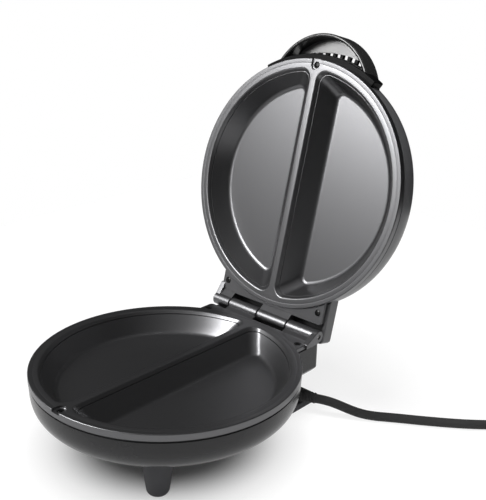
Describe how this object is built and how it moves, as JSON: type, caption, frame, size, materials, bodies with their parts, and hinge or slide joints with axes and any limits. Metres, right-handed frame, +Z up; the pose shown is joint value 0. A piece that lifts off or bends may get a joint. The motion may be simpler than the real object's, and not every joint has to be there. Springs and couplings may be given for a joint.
{
  "type": "electric omelette maker",
  "caption": "Round clamshell omelette maker: hinged lid with handle, cast plates with half-moon wells, legs and mains cord.",
  "frame": {"origin": "point on the table directly under the middle of the hinge axis, on the rear foot's underside", "axes": "+Z up, +X along the hinge axis, -Y towards the handle side"},
  "size_m": [0.4215, 0.3481, 0.3125],
  "materials": {
    "base_shell": "satin, dark grey",
    "lid_shell": "satin, gunmetal grey",
    "foot_plastic": "fine moulded grain, black",
    "seal_rubber": "matt black",
    "plate_coating": "cast aluminium with a dark grey non-stick coating",
    "screw_steel": "plated",
    "element_steel": "dull sheath",
    "shield_aluminium": "bright sheet",
    "control_ceramic": "cream ceramic",
    "cord_rubber": "satin black",
    "tie_plastic": "matt black",
    "plug_plastic": "satin black",
    "pin_brass": "bright",
    "fuse_cover_plastic": "satin red",
    "handle_gloss": "high gloss black",
    "lens_red": "clear red",
    "lens_green": "clear green"
  },
  "bodies": {
    "base": {"base_housing": "base_shell", "front_foot_left": "foot_plastic", "front_foot_right": "foot_plastic", "rear_foot": "foot_plastic", "rear_foot_screws": "screw_steel", "base_rim_seal": "seal_rubber", "base_plate": "plate_coating", "base_plate_screws": "screw_steel", "base_element": "element_steel", "base_element_clips": "element_steel", "base_heat_shield": "shield_aluminium", "base_shield_screws": "screw_steel", "thermostat": "control_ceramic", "thermal_fuse": "control_ceramic", "terminal_block": "control_ceramic", "cord_clamp": "screw_steel", "strain_relief": "cord_rubber", "hinge_pin": "screw_steel", "power_cord": "cord_rubber", "cord_coil": "cord_rubber", "cord_tie": "tie_plastic", "plug_body": "plug_plastic", "plug_pins": "pin_brass", "plug_fuse_cover": "fuse_cover_plastic"},
    "lid": {"lid_housing": "lid_shell", "lid_rim_seal": "seal_rubber", "lid_plate": "plate_coating", "lid_plate_screws": "screw_steel", "lid_element": "element_steel", "lid_element_clips": "element_steel", "lid_heat_shield": "shield_aluminium", "lid_shield_screws": "screw_steel", "handle": "handle_gloss", "handle_screws": "screw_steel", "power_lens": "lens_red", "ready_lens": "lens_green", "lamp_holder": "control_ceramic"}
  },
  "joints": [
    {"name": "lid_hinge", "type": "hinge", "parent": "base", "child": "lid", "pos_m": [0, 0, 0.071], "axis": [1, 0, 0], "range_deg": [0, 104]}
  ]
}
